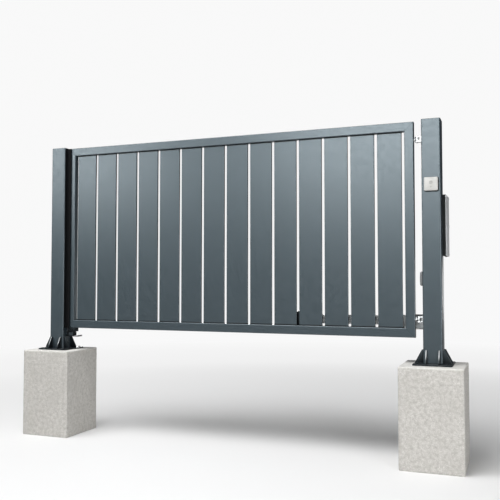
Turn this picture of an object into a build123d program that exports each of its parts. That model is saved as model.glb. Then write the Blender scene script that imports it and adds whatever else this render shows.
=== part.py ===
from build123d import *
import math
import os

# Electric swing gate: two steel posts on concrete footings, one slatted aluminium leaf hung
# from the right-hand post, and a screw actuator behind the leaf that pulls it open.
# X runs along the gate, Y points to the back, Z is up, and the floor is at zero.
# The origin is under the middle of the gateway, at the middle of the posts' depth.

# Gateway: the clear width between the posts
GATEWAY = 2706

# Footings
FOOTING_SIZE = 395
FOOTING_HEIGHT = 635
FOOTING_BEVEL = 8

# Posts, with their base plates, gussets and caps
POST_SIZE = 120
POST_WALL = 5
POST_CORNER = 8
CAP_THICKNESS = 4
BASE_PLATE_SIZE = 240
BASE_PLATE_THICKNESS = 10
GUSSET_HEIGHT = 85
GUSSET_REACH = 50
GUSSET_THICKNESS = 8
GUSSET_SPACING = 80
GUSSET_NOSE = 10

# Leaf: a mitred frame of hollow profile with hollow slats between its rails
SLAT_COUNT = 14
SLAT_DEPTH = 16
SLAT_WALL = 1.6
SLAT_CORNER = 3
SLAT_GAP = 19
FRAME_FACE = 60
FRAME_DEPTH = 45
FRAME_WALL = 3
FRAME_CORNER = 5
LEAF_HEIGHT = 1390
LEAF_ABOVE_FOOTING = 165
LATCH_GAP = 9
HINGE_GAP = 52
MIN_INNER_RADIUS = 0.5

# Hinges: an eye bolt in the stile, turning on a pin between two ears on the post
HINGE_AXIS_FROM_LEAF = 21
HINGE_FROM_LEAF_END = 115
HINGE_PIN_RADIUS = 6
HINGE_PIN_HEAD_RADIUS = 10
HINGE_PIN_HEAD = 4
HINGE_EYE_RADIUS = 12
HINGE_EYE_HEIGHT = 22
HINGE_EAR_RADIUS = 14
HINGE_EAR_THICKNESS = 7
HINGE_BACK_THICKNESS = 8
HINGE_SHANK_RADIUS = 7
HINGE_SHANK_INSIDE = 35
HINGE_NUT_ACROSS_FLATS = 22
HINGE_NUT_THICKNESS = 7

# Fits
RUNNING_FIT = 0.05
SIDE_PLAY = 0.5
HOLE_CLEARANCE = 0.3
OPEN_PIVOT_CLEARANCE = 3

# Access reader on the front of the hinge post
READER_SIZE = 85
READER_DEPTH = 12
READER_HEIGHT = 1775
READER_CORNER = 6
READER_EDGE = 2

# Control box: a flat case on the outer side of the hinge post, reaching past its back
BOX_BOTTOM = 1322
BOX_HEIGHT = 391
BOX_DEPTH = 185
BOX_FRONT_SETBACK = 70
BOX_CORNER = 6
BOX_BASE_THICKNESS = 19
BOX_COVER_THICKNESS = 5.5
BOX_COVER_EDGE = 2

# Photocell on the gateway side of the hinge post
PHOTOCELL_HEIGHT = 91
PHOTOCELL_WIDTH = 50
PHOTOCELL_DEPTH = 19
PHOTOCELL_BOTTOM = 1131
PHOTOCELL_FRONT_SETBACK = 25
PHOTOCELL_CORNER = 14
PHOTOCELL_EDGE = 10

# Actuator: motor housing, drive profile and the carriage that runs along it
RAM_ABOVE_RAIL = 42
REAR_PIN_INTO_POST = 44
REAR_PIN_BEHIND_POST = 60
FRONT_PIN_FROM_AXIS = 818
FRONT_PIN_BEHIND_LEAF = 47.5
HOUSING_START = 40
HOUSING_LENGTH = 170
HOUSING_WIDTH = 74
HOUSING_HEIGHT = 90
HOUSING_DROP = 10
HOUSING_EDGE = 12
LUG_THICKNESS = 26
LUG_RADIUS = 20
PROFILE_WIDTH = 44
PROFILE_HEIGHT = 60
PROFILE_WALL = 3
PROFILE_CORNER = 8
PROFILE_PAST_PIN = 52
END_CAP_THICKNESS = 10
CARRIAGE_LENGTH = 90
CARRIAGE_WALL = 5
CARRIAGE_BOSS_RADIUS = 20
CARRIAGE_BOSS_HEIGHT = 2
RAM_PIN_RADIUS = 7
RAM_PIN_HEAD_RADIUS = 12
RAM_PIN_HEAD = 7
REAR_EAR_THICKNESS = 10
REAR_EAR_RADIUS = 20
REAR_PLATE_THICKNESS = 8
REAR_PLATE_HEIGHT = 80
REAR_PLATE_EDGE = 4
FRONT_PLATE_WIDTH = 90
FRONT_PLATE_THICKNESS = 8
FRONT_PLATE_ON_RAIL = 50
TONGUE_THICKNESS = 8
TONGUE_RADIUS = 20

# Lock under the leaf's free corner, and its keeper on the latch post
LOCK_LENGTH = 70
LOCK_WIDTH = 40
LOCK_HEIGHT = 29
LOCK_FROM_EDGE = 6
KEEPER_CLEARANCE = 5
KEEPER_PLATE_THICKNESS = 6
KEEPER_BLOCK_LENGTH = 66
KEEPER_BLOCK_HEIGHT = 27
KEEPER_BLOCK_WIDTH = 44
KEEPER_SHELF_LENGTH = 112
KEEPER_SHELF_WIDTH = 56
KEEPER_LIP_HEIGHT = 11

# Places worked out from the sizes above
LEAF_WIDTH = GATEWAY - LATCH_GAP - HINGE_GAP
SLAT_WIDTH = (LEAF_WIDTH - 2 * FRAME_FACE - (SLAT_COUNT + 1) * SLAT_GAP) / SLAT_COUNT
POST_X = GATEWAY / 2 + POST_SIZE / 2
HINGE_POST_INNER = GATEWAY / 2
HINGE_POST_OUTER = HINGE_POST_INNER + POST_SIZE
LATCH_POST_INNER = -GATEWAY / 2
LEAF_LEFT = LATCH_POST_INNER + LATCH_GAP
LEAF_RIGHT = LEAF_LEFT + LEAF_WIDTH
LEAF_BOTTOM = FOOTING_HEIGHT + LEAF_ABOVE_FOOTING
LEAF_TOP = LEAF_BOTTOM + LEAF_HEIGHT
LEAF_BACK = FRAME_DEPTH / 2
# The posts' tubes end level with the leaf, and their caps stand above it
POST_BASE = FOOTING_HEIGHT + BASE_PLATE_THICKNESS
POST_TOP = LEAF_TOP
POST_HEIGHT = POST_TOP - POST_BASE
HINGE_X = LEAF_RIGHT + HINGE_AXIS_FROM_LEAF
HINGE_HEIGHTS = {
    "lower": LEAF_BOTTOM + HINGE_FROM_LEAF_END,
    "upper": LEAF_TOP - HINGE_FROM_LEAF_END,
}
BRACKET_SLOT = HINGE_EYE_HEIGHT + 2 * SIDE_PLAY
BRACKET_HEIGHT = BRACKET_SLOT + 2 * HINGE_EAR_THICKNESS

RAM_Z = LEAF_BOTTOM + FRAME_FACE + RAM_ABOVE_RAIL
REAR_PIN_X = HINGE_POST_INNER + REAR_PIN_INTO_POST
REAR_PIN_Y = POST_SIZE / 2 + REAR_PIN_BEHIND_POST
FRONT_PIN_X = HINGE_X - FRONT_PIN_FROM_AXIS
FRONT_PIN_Y = LEAF_BACK + FRONT_PIN_BEHIND_LEAF
RAM_LENGTH = math.hypot(FRONT_PIN_X - REAR_PIN_X, FRONT_PIN_Y - REAR_PIN_Y)
RAM_DIRECTION = (FRONT_PIN_X - REAR_PIN_X, FRONT_PIN_Y - REAR_PIN_Y, 0)
# The actuator is drawn along its own axis: local X from the rear pin towards the front pin
RAM_PLANE = Plane(origin=(REAR_PIN_X, REAR_PIN_Y, RAM_Z), x_dir=RAM_DIRECTION, z_dir=(0, 0, 1))
HOUSING_END = HOUSING_START + HOUSING_LENGTH
PROFILE_END = RAM_LENGTH + PROFILE_PAST_PIN
CARRIAGE_HOLE_WIDTH = PROFILE_WIDTH + 2 * SIDE_PLAY
CARRIAGE_HOLE_HEIGHT = PROFILE_HEIGHT + 2 * SIDE_PLAY
CARRIAGE_TOP = CARRIAGE_HOLE_HEIGHT / 2 + CARRIAGE_WALL
TONGUE_Z = RAM_Z + CARRIAGE_TOP + CARRIAGE_BOSS_HEIGHT + OPEN_PIVOT_CLEARANCE
REAR_EAR_Z = LUG_THICKNESS / 2 + SIDE_PLAY
LOCK_BOTTOM = LEAF_BOTTOM - LOCK_HEIGHT
KEEPER_TOP = LOCK_BOTTOM - KEEPER_CLEARANCE
KEEPER_BOTTOM = KEEPER_TOP - KEEPER_BLOCK_HEIGHT - KEEPER_PLATE_THICKNESS

os.makedirs("parts", exist_ok=True)


def save(builder, label):
    """Label a finished piece and write it as its own STEP file."""
    builder.part.label = label
    export_step(builder.part, f"parts/{label}.step")


def hollow_section(width, depth, wall, corner):
    """Draw a rounded rectangular tube section in the sketch that is open."""
    RectangleRounded(width, depth, corner)
    inner_corner = max(corner - wall, MIN_INNER_RADIUS)
    RectangleRounded(width - 2 * wall, depth - 2 * wall, inner_corner, mode=Mode.SUBTRACT)


def along_x(x, y=0, z=0):
    """A plane that faces along X, drawn with Y across and Z up."""
    return Plane(origin=(x, y, z), x_dir=(0, 1, 0), z_dir=(1, 0, 0))


# Footings, base plates, gussets, posts and caps, once for each side of the gateway
for side, post_x in {"latch": -POST_X, "hinge": POST_X}.items():
    with BuildPart() as footing:
        with BuildSketch(Plane.XY) as outline:
            with Locations((post_x, 0)):
                Rectangle(FOOTING_SIZE, FOOTING_SIZE)
        extrude(amount=FOOTING_HEIGHT)
        upright = footing.edges().filter_by(Axis.Z)
        rim = footing.faces().sort_by(Axis.Z)[-1].edges()
        chamfer(upright + rim, length=FOOTING_BEVEL)
    save(footing, f"{side}_footing")

    with BuildPart() as base_plate:
        with BuildSketch(Plane.XY.offset(FOOTING_HEIGHT)) as outline:
            with Locations((post_x, 0)):
                Rectangle(BASE_PLATE_SIZE, BASE_PLATE_SIZE)
        extrude(amount=BASE_PLATE_THICKNESS)
    save(base_plate, f"{side}_base_plate")

    with BuildPart() as gussets:
        for face in range(4):
            out = Vector(1, 0, 0).rotate(Axis.Z, 90 * face)
            across = Vector(0, 1, 0).rotate(Axis.Z, 90 * face)
            for shift in (-GUSSET_SPACING / 2, GUSSET_SPACING / 2):
                corner = Vector(post_x, 0, POST_BASE) + out * (POST_SIZE / 2) + across * shift
                with BuildSketch(Plane(origin=corner, x_dir=out, z_dir=-across)) as rib:
                    with BuildLine() as edge:
                        Polyline(
                            (0, 0),
                            (GUSSET_REACH, 0),
                            (GUSSET_REACH, GUSSET_NOSE),
                            (GUSSET_NOSE, GUSSET_HEIGHT),
                            (0, GUSSET_HEIGHT),
                            close=True,
                        )
                    make_face()
                extrude(amount=GUSSET_THICKNESS / 2, both=True)
    save(gussets, f"{side}_post_gussets")

    with BuildPart() as post:
        with BuildSketch(Plane.XY.offset(POST_BASE)) as section:
            with Locations((post_x, 0)):
                hollow_section(POST_SIZE, POST_SIZE, POST_WALL, POST_CORNER)
        extrude(amount=POST_HEIGHT)
    save(post, f"{side}_post")

    with BuildPart() as cap:
        with BuildSketch(Plane.XY.offset(POST_TOP)) as outline:
            with Locations((post_x, 0)):
                RectangleRounded(POST_SIZE, POST_SIZE, POST_CORNER)
        extrude(amount=CAP_THICKNESS)
        chamfer(cap.faces().sort_by(Axis.Z)[-1].edges(), length=CAP_THICKNESS / 2)
    save(cap, f"{side}_post_cap")

# Leaf frame: each profile runs past both corners and is cut back along the mitres
mitres = {
    "bottom_left": Plane(origin=(LEAF_LEFT, 0, LEAF_BOTTOM), z_dir=(-1, 0, 1)),
    "bottom_right": Plane(origin=(LEAF_RIGHT, 0, LEAF_BOTTOM), z_dir=(1, 0, 1)),
    "top_left": Plane(origin=(LEAF_LEFT, 0, LEAF_TOP), z_dir=(-1, 0, -1)),
    "top_right": Plane(origin=(LEAF_RIGHT, 0, LEAF_TOP), z_dir=(1, 0, -1)),
}

for name, rail_z, corners in (
    ("bottom_rail", LEAF_BOTTOM + FRAME_FACE / 2, ("bottom_left", "bottom_right")),
    ("top_rail", LEAF_TOP - FRAME_FACE / 2, ("top_left", "top_right")),
):
    with BuildPart() as rail:
        with BuildSketch(along_x(LEAF_LEFT, z=rail_z)) as section:
            hollow_section(FRAME_DEPTH, FRAME_FACE, FRAME_WALL, FRAME_CORNER)
        extrude(amount=LEAF_WIDTH)
        for corner_name in corners:
            split(bisect_by=mitres[corner_name], keep=Keep.BOTTOM)
    save(rail, name)

for name, stile_x, corners in (
    ("latch_stile", LEAF_LEFT + FRAME_FACE / 2, ("bottom_left", "top_left")),
    ("hinge_stile", LEAF_RIGHT - FRAME_FACE / 2, ("bottom_right", "top_right")),
):
    with BuildPart() as stile:
        with BuildSketch(Plane(origin=(stile_x, 0, LEAF_BOTTOM))) as section:
            hollow_section(FRAME_FACE, FRAME_DEPTH, FRAME_WALL, FRAME_CORNER)
        extrude(amount=LEAF_HEIGHT)
        for corner_name in corners:
            split(bisect_by=mitres[corner_name], keep=Keep.TOP)
        if name == "hinge_stile":
            # The eye bolts pass through the stile's outer wall
            for height in HINGE_HEIGHTS.values():
                with BuildSketch(along_x(LEAF_RIGHT, z=height)) as bolt_hole:
                    Circle(HINGE_SHANK_RADIUS + HOLE_CLEARANCE)
                extrude(amount=-2 * FRAME_WALL, mode=Mode.SUBTRACT)
    save(stile, name)

# Slats, from the latch side to the hinge side
for number in range(SLAT_COUNT):
    slat_x = LEAF_LEFT + FRAME_FACE + SLAT_GAP + SLAT_WIDTH / 2 + number * (SLAT_WIDTH + SLAT_GAP)
    with BuildPart() as slat:
        with BuildSketch(Plane(origin=(slat_x, 0, LEAF_BOTTOM + FRAME_FACE))) as section:
            hollow_section(SLAT_WIDTH, SLAT_DEPTH, SLAT_WALL, SLAT_CORNER)
        extrude(amount=LEAF_HEIGHT - 2 * FRAME_FACE)
    save(slat, f"slat_{number + 1:02d}")

# Hinges: a slotted bracket and pin on the post, an eye bolt and lock nut on the leaf
for level, height in HINGE_HEIGHTS.items():
    with BuildPart() as bracket:
        with BuildSketch(Plane.XY.offset(height - BRACKET_HEIGHT / 2)) as outline:
            with Locations((HINGE_X, 0)):
                Circle(HINGE_EAR_RADIUS)
            ear_length = HINGE_POST_INNER - HINGE_X
            with Locations((HINGE_X + ear_length / 2, 0)):
                Rectangle(ear_length, 2 * HINGE_EAR_RADIUS)
        extrude(amount=BRACKET_HEIGHT)
        slot_end = HINGE_POST_INNER - HINGE_BACK_THICKNESS
        slot_length = slot_end - HINGE_X + 2 * HINGE_EAR_RADIUS
        with BuildSketch(Plane.XY.offset(height - BRACKET_SLOT / 2)) as slot:
            with Locations((slot_end - slot_length / 2, 0)):
                Rectangle(slot_length, 4 * HINGE_EAR_RADIUS)
        extrude(amount=BRACKET_SLOT, mode=Mode.SUBTRACT)
        with BuildSketch(Plane.XY.offset(height - BRACKET_HEIGHT / 2)) as pin_hole:
            with Locations((HINGE_X, 0)):
                Circle(HINGE_PIN_RADIUS + RUNNING_FIT)
        extrude(amount=BRACKET_HEIGHT, mode=Mode.SUBTRACT)
    save(bracket, f"{level}_hinge_bracket")

    with BuildPart() as pin:
        with BuildSketch(Plane.XY.offset(height - BRACKET_HEIGHT / 2)) as shaft:
            with Locations((HINGE_X, 0)):
                Circle(HINGE_PIN_RADIUS)
        extrude(amount=BRACKET_HEIGHT)
        with BuildSketch(Plane.XY.offset(height + BRACKET_HEIGHT / 2)) as head:
            with Locations((HINGE_X, 0)):
                Circle(HINGE_PIN_HEAD_RADIUS)
        extrude(amount=HINGE_PIN_HEAD)
    save(pin, f"{level}_hinge_pin")

    with BuildPart() as eye_bolt:
        with BuildSketch(Plane.XY.offset(height - HINGE_EYE_HEIGHT / 2)) as eye:
            with Locations((HINGE_X, 0)):
                Circle(HINGE_EYE_RADIUS)
        extrude(amount=HINGE_EYE_HEIGHT)
        with BuildSketch(along_x(LEAF_RIGHT - HINGE_SHANK_INSIDE, z=height)) as shank:
            Circle(HINGE_SHANK_RADIUS)
        extrude(amount=HINGE_SHANK_INSIDE + HINGE_AXIS_FROM_LEAF)
        with BuildSketch(Plane.XY.offset(height - HINGE_EYE_HEIGHT / 2)) as bore:
            with Locations((HINGE_X, 0)):
                Circle(HINGE_PIN_RADIUS + RUNNING_FIT)
        extrude(amount=HINGE_EYE_HEIGHT, mode=Mode.SUBTRACT)
    save(eye_bolt, f"{level}_hinge_eye_bolt")

    with BuildPart() as nut:
        with BuildSketch(along_x(LEAF_RIGHT, z=height)) as hexagon:
            RegularPolygon(HINGE_NUT_ACROSS_FLATS / 2, 6, major_radius=False)
            Circle(HINGE_SHANK_RADIUS + RUNNING_FIT, mode=Mode.SUBTRACT)
        extrude(amount=HINGE_NUT_THICKNESS)
    save(nut, f"{level}_hinge_nut")

# Access reader
with BuildPart() as access_reader:
    reader_plane = Plane(origin=(POST_X, -POST_SIZE / 2, READER_HEIGHT), x_dir=(1, 0, 0), z_dir=(0, -1, 0))
    with BuildSketch(reader_plane) as outline:
        RectangleRounded(READER_SIZE, READER_SIZE, READER_CORNER)
    extrude(amount=READER_DEPTH)
    fillet(access_reader.faces().sort_by(Axis.Y)[0].edges(), radius=READER_EDGE)
save(access_reader, "access_reader")

# Control box: a case on the post, closed by a cover that faces away from the gateway
BOX_MIDDLE_Y = -POST_SIZE / 2 + BOX_FRONT_SETBACK + BOX_DEPTH / 2
BOX_MIDDLE_Z = BOX_BOTTOM + BOX_HEIGHT / 2
with BuildPart() as control_box_base:
    with BuildSketch(along_x(HINGE_POST_OUTER, BOX_MIDDLE_Y, BOX_MIDDLE_Z)) as outline:
        RectangleRounded(BOX_DEPTH, BOX_HEIGHT, BOX_CORNER)
    extrude(amount=BOX_BASE_THICKNESS)
save(control_box_base, "control_box_base")

with BuildPart() as control_box_cover:
    cover_x = HINGE_POST_OUTER + BOX_BASE_THICKNESS
    with BuildSketch(along_x(cover_x, BOX_MIDDLE_Y, BOX_MIDDLE_Z)) as outline:
        RectangleRounded(BOX_DEPTH, BOX_HEIGHT, BOX_CORNER)
    extrude(amount=BOX_COVER_THICKNESS)
    fillet(control_box_cover.faces().sort_by(Axis.X)[-1].edges(), radius=BOX_COVER_EDGE)
save(control_box_cover, "control_box_cover")

# Photocell
with BuildPart() as photocell:
    photocell_y = -POST_SIZE / 2 + PHOTOCELL_FRONT_SETBACK + PHOTOCELL_WIDTH / 2
    photocell_plane = Plane(
        origin=(HINGE_POST_INNER, photocell_y, PHOTOCELL_BOTTOM + PHOTOCELL_HEIGHT / 2),
        x_dir=(0, -1, 0),
        z_dir=(-1, 0, 0),
    )
    with BuildSketch(photocell_plane) as outline:
        RectangleRounded(PHOTOCELL_WIDTH, PHOTOCELL_HEIGHT, PHOTOCELL_CORNER)
    extrude(amount=PHOTOCELL_DEPTH)
    fillet(photocell.faces().sort_by(Axis.X)[0].edges(), radius=PHOTOCELL_EDGE)
save(photocell, "photocell")

# Actuator's rear bracket and pin, on the back of the hinge post
with BuildPart() as rear_bracket:
    plate_width = 2 * (REAR_PIN_INTO_POST - REAR_PLATE_EDGE)
    rear_plane = Plane(origin=(REAR_PIN_X, POST_SIZE / 2, RAM_Z), x_dir=(-1, 0, 0), z_dir=(0, 1, 0))
    with BuildSketch(rear_plane) as plate:
        Rectangle(plate_width, REAR_PLATE_HEIGHT)
    extrude(amount=REAR_PLATE_THICKNESS)
    for ear_bottom in (REAR_EAR_Z, -REAR_EAR_Z - REAR_EAR_THICKNESS):
        with BuildSketch(Plane.XY.offset(RAM_Z + ear_bottom)) as ear:
            with Locations((REAR_PIN_X, REAR_PIN_Y)):
                Circle(REAR_EAR_RADIUS)
            with Locations((REAR_PIN_X, REAR_PIN_Y - REAR_PIN_BEHIND_POST / 2)):
                Rectangle(2 * REAR_EAR_RADIUS, REAR_PIN_BEHIND_POST)
            with Locations((REAR_PIN_X, REAR_PIN_Y)):
                Circle(RAM_PIN_RADIUS + RUNNING_FIT, mode=Mode.SUBTRACT)
        extrude(amount=REAR_EAR_THICKNESS)
save(rear_bracket, "actuator_rear_bracket")

with BuildPart() as rear_pin:
    pin_length = 2 * (REAR_EAR_Z + REAR_EAR_THICKNESS)
    with BuildSketch(Plane.XY.offset(RAM_Z - pin_length / 2)) as shaft:
        with Locations((REAR_PIN_X, REAR_PIN_Y)):
            Circle(RAM_PIN_RADIUS)
    extrude(amount=pin_length)
    with BuildSketch(Plane.XY.offset(RAM_Z + pin_length / 2)) as head:
        with Locations((REAR_PIN_X, REAR_PIN_Y)):
            Circle(RAM_PIN_HEAD_RADIUS)
    extrude(amount=RAM_PIN_HEAD)
save(rear_pin, "actuator_rear_pin")

# Actuator body: motor housing with its lug, drive profile and end cap
with BuildPart() as housing:
    with BuildSketch(RAM_PLANE.offset(-HOUSING_HEIGHT / 2 - HOUSING_DROP)) as outline:
        with Locations((HOUSING_START + HOUSING_LENGTH / 2, 0)):
            Rectangle(HOUSING_LENGTH, HOUSING_WIDTH)
    extrude(amount=HOUSING_HEIGHT)
    fillet(housing.edges(), radius=HOUSING_EDGE)
    with BuildSketch(RAM_PLANE.offset(-LUG_THICKNESS / 2)) as lug:
        Circle(LUG_RADIUS)
        lug_length = HOUSING_START + HOUSING_EDGE
        with Locations((lug_length / 2, 0)):
            Rectangle(lug_length, 2 * LUG_RADIUS)
    extrude(amount=LUG_THICKNESS)
    with BuildSketch(RAM_PLANE.offset(-LUG_THICKNESS / 2)) as bore:
        Circle(RAM_PIN_RADIUS + RUNNING_FIT)
    extrude(amount=LUG_THICKNESS, mode=Mode.SUBTRACT)
save(housing, "actuator_housing")


def across_ram(distance):
    """A plane across the actuator at this distance from its rear pin."""
    middle = RAM_PLANE.from_local_coords((distance, 0, 0))
    return Plane(origin=middle, x_dir=RAM_PLANE.y_dir, z_dir=RAM_PLANE.x_dir)


with BuildPart() as profile:
    with BuildSketch(across_ram(HOUSING_END)) as section:
        hollow_section(PROFILE_WIDTH, PROFILE_HEIGHT, PROFILE_WALL, PROFILE_CORNER)
    extrude(amount=PROFILE_END - HOUSING_END)
save(profile, "actuator_profile")

with BuildPart() as end_cap:
    with BuildSketch(across_ram(PROFILE_END)) as section:
        RectangleRounded(PROFILE_WIDTH, PROFILE_HEIGHT, PROFILE_CORNER)
    extrude(amount=END_CAP_THICKNESS)
save(end_cap, "actuator_end_cap")

# Carriage: a sleeve that runs along the profile, with a boss under the leaf's bracket
with BuildPart() as carriage:
    with BuildSketch(across_ram(RAM_LENGTH - CARRIAGE_LENGTH / 2)) as section:
        RectangleRounded(
            CARRIAGE_HOLE_WIDTH + 2 * CARRIAGE_WALL,
            CARRIAGE_HOLE_HEIGHT + 2 * CARRIAGE_WALL,
            PROFILE_CORNER + CARRIAGE_WALL,
        )
        RectangleRounded(
            CARRIAGE_HOLE_WIDTH,
            CARRIAGE_HOLE_HEIGHT,
            PROFILE_CORNER + SIDE_PLAY,
            mode=Mode.SUBTRACT,
        )
    extrude(amount=CARRIAGE_LENGTH)
    with BuildSketch(RAM_PLANE.offset(CARRIAGE_TOP)) as boss:
        with Locations((RAM_LENGTH, 0)):
            Circle(CARRIAGE_BOSS_RADIUS)
    extrude(amount=CARRIAGE_BOSS_HEIGHT)
save(carriage, "actuator_carriage")

# Front bracket: an upright plate on the bottom rail with a tongue over the carriage
with BuildPart() as front_bracket:
    plate_bottom = LEAF_BOTTOM + FRAME_FACE - FRONT_PLATE_ON_RAIL
    plate_top = TONGUE_Z + TONGUE_THICKNESS
    plate_plane = Plane(
        origin=(FRONT_PIN_X, LEAF_BACK, (plate_bottom + plate_top) / 2),
        x_dir=(-1, 0, 0),
        z_dir=(0, 1, 0),
    )
    with BuildSketch(plate_plane) as plate:
        Rectangle(FRONT_PLATE_WIDTH, plate_top - plate_bottom)
    extrude(amount=FRONT_PLATE_THICKNESS)
    with BuildSketch(Plane.XY.offset(TONGUE_Z)) as tongue:
        with Locations((FRONT_PIN_X, FRONT_PIN_Y)):
            Circle(TONGUE_RADIUS)
        with Locations((FRONT_PIN_X, FRONT_PIN_Y - FRONT_PIN_BEHIND_LEAF / 2)):
            Rectangle(2 * TONGUE_RADIUS, FRONT_PIN_BEHIND_LEAF)
        with Locations((FRONT_PIN_X, FRONT_PIN_Y)):
            Circle(RAM_PIN_RADIUS + RUNNING_FIT, mode=Mode.SUBTRACT)
    extrude(amount=TONGUE_THICKNESS)
save(front_bracket, "actuator_front_bracket")

with BuildPart() as front_pin:
    with BuildSketch(Plane.XY.offset(TONGUE_Z)) as shaft:
        with Locations((FRONT_PIN_X, FRONT_PIN_Y)):
            Circle(RAM_PIN_RADIUS)
    extrude(amount=TONGUE_THICKNESS)
    with BuildSketch(Plane.XY.offset(TONGUE_Z + TONGUE_THICKNESS)) as head:
        with Locations((FRONT_PIN_X, FRONT_PIN_Y)):
            Circle(RAM_PIN_HEAD_RADIUS)
    extrude(amount=RAM_PIN_HEAD)
save(front_pin, "actuator_front_pin")

# Lock case under the leaf's free corner
with BuildPart() as lock_case:
    with BuildSketch(Plane.XY.offset(LOCK_BOTTOM)) as outline:
        with Locations((LEAF_LEFT + LOCK_FROM_EDGE + LOCK_LENGTH / 2, 0)):
            Rectangle(LOCK_LENGTH, LOCK_WIDTH)
    extrude(amount=LOCK_HEIGHT)
save(lock_case, "lock_case")

# Keeper on the latch post: a block on a shelf, with a lip turned up at the shelf's end
with BuildPart() as lock_keeper:
    with BuildSketch(Plane.XY.offset(KEEPER_BOTTOM)) as shelf:
        with Locations((LATCH_POST_INNER + KEEPER_SHELF_LENGTH / 2, 0)):
            Rectangle(KEEPER_SHELF_LENGTH, KEEPER_SHELF_WIDTH)
    extrude(amount=KEEPER_PLATE_THICKNESS)
    with BuildSketch(Plane.XY.offset(KEEPER_BOTTOM + KEEPER_PLATE_THICKNESS)) as block:
        with Locations((LATCH_POST_INNER + KEEPER_BLOCK_LENGTH / 2, 0)):
            Rectangle(KEEPER_BLOCK_LENGTH, KEEPER_BLOCK_WIDTH)
    extrude(amount=KEEPER_BLOCK_HEIGHT)
    with BuildSketch(Plane.XY.offset(KEEPER_BOTTOM)) as lip:
        lip_x = LATCH_POST_INNER + KEEPER_SHELF_LENGTH - KEEPER_PLATE_THICKNESS / 2
        with Locations((lip_x, 0)):
            Rectangle(KEEPER_PLATE_THICKNESS, KEEPER_SHELF_WIDTH)
    extrude(amount=KEEPER_LIP_HEIGHT)
save(lock_keeper, "lock_keeper")
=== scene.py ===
# %% [markdown]
# # An electric swing gate
# Two steel posts stand on cast concrete blocks. One slatted aluminium leaf hangs from the
# right-hand post, and a screw drive behind the leaf pulls it open.
# The frame holds every load-bearing piece at its real size and place. This lesson gives each
# of them its finish, and models the small things that a maker adds: welds, bolts, seals,
# screws and lenses. Everything is in metres, with X along the gate, Y to the back and Z up.

# %% Load the frame
import math

import bpy
from mathutils import Matrix, Vector


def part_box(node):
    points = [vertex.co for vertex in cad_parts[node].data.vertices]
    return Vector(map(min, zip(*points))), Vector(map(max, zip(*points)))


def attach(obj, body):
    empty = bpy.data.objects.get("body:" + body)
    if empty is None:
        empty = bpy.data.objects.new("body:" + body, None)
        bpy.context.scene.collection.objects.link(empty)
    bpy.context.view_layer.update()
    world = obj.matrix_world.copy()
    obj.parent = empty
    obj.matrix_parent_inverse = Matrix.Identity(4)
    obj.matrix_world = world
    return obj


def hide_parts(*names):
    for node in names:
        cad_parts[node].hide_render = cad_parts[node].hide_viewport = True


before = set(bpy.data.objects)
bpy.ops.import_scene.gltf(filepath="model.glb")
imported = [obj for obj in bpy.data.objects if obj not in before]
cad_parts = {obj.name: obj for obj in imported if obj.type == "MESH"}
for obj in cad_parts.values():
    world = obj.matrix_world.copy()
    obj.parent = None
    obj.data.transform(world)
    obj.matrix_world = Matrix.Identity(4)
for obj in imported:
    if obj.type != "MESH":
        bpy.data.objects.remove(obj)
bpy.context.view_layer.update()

# %% [markdown]
# ## The camera
# The picture is taken from the right, a little below the middle of the leaf, with a normal lens.
# The place, the turn and the lens were found by matching the corners of the posts, the blocks
# and the leaf with the picture. The image is square, so the sensor's width is also its height.

# %% Camera
CAMERA_PLACE = (1.9306, -4.5717, 1.1721)
CAMERA_TURN = math.radians(21.132)
CAMERA_TILT = math.radians(2.407)
CAMERA_LENS = 50.327
SENSOR = 36.0

camera_data = bpy.data.cameras.new("gate_camera")
camera_data.sensor_width = SENSOR
camera_data.lens = CAMERA_LENS
camera = bpy.data.objects.new("gate_camera", camera_data)
bpy.context.scene.collection.objects.link(camera)
camera.location = CAMERA_PLACE
camera.rotation_euler = (math.radians(90) + CAMERA_TILT, 0, CAMERA_TURN)
bpy.context.scene.camera = camera
print("camera at", CAMERA_PLACE, "lens", CAMERA_LENS, "mm")

# %% [markdown]
# ## Tools for the finishes
# Every finish is a Principled shader whose colour, roughness and bump come from procedural
# textures on Object coordinates. All pieces keep their place in their mesh, so one metre of
# texture is one metre of gate. A few small helpers keep each finish short to read.


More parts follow.
